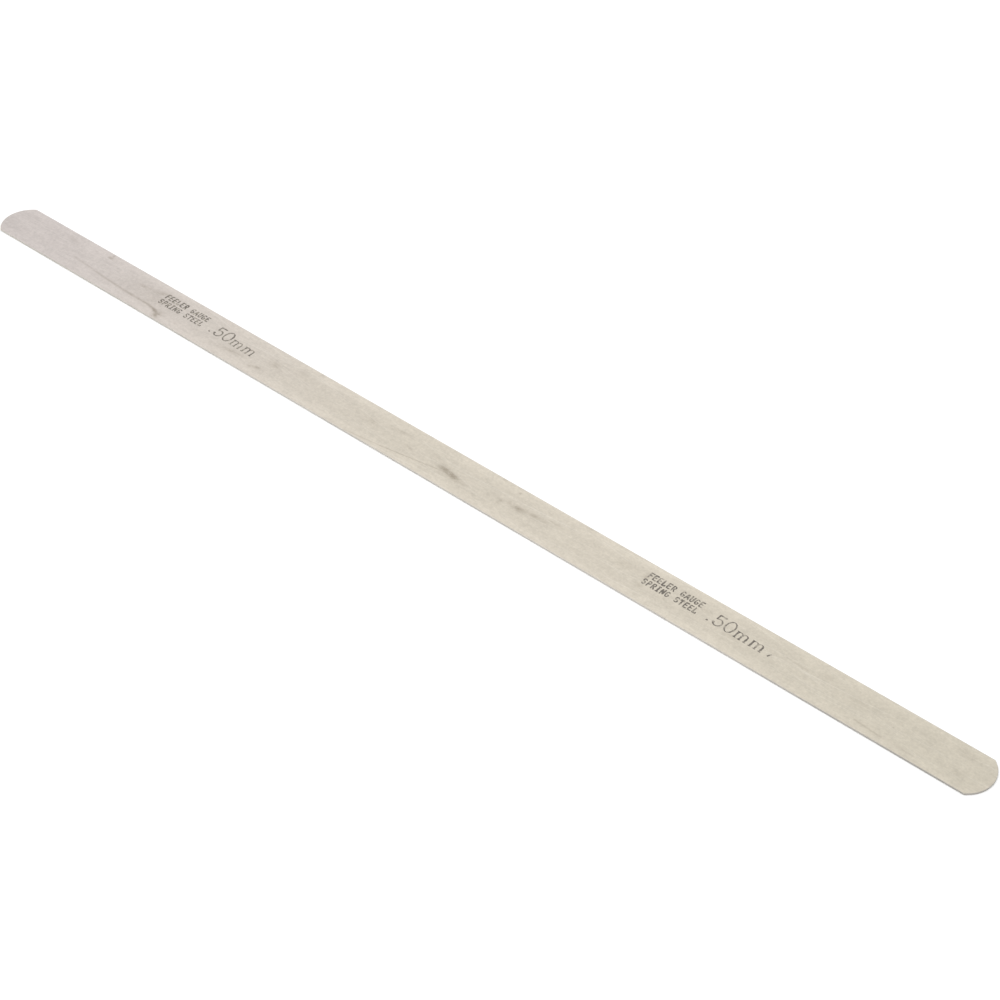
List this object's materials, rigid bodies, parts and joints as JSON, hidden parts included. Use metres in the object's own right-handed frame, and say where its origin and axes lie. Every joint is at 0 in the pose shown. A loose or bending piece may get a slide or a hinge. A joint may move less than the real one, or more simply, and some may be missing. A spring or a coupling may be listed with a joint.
{
  "type": "feeler gauge",
  "caption": "Long flat feeler gauge strip of thin satin steel with parallel faces and shallow rounded ends, marked with its thickness.",
  "frame": {"origin": "centre of the lower gauging face", "axes": "+X along the strip, +Y across its width, +Z through its thickness from the lower face to the marked face"},
  "size_m": [0.3048, 0.0126, 0.0005],
  "materials": {
    "spring_steel": "satin, rolled and tempered, faint lengthwise grain",
    "mark_black": "matt, thin black etched marks"
  },
  "bodies": {
    "root": {"gauge_strip": "spring_steel"}
  },
  "joints": []
}
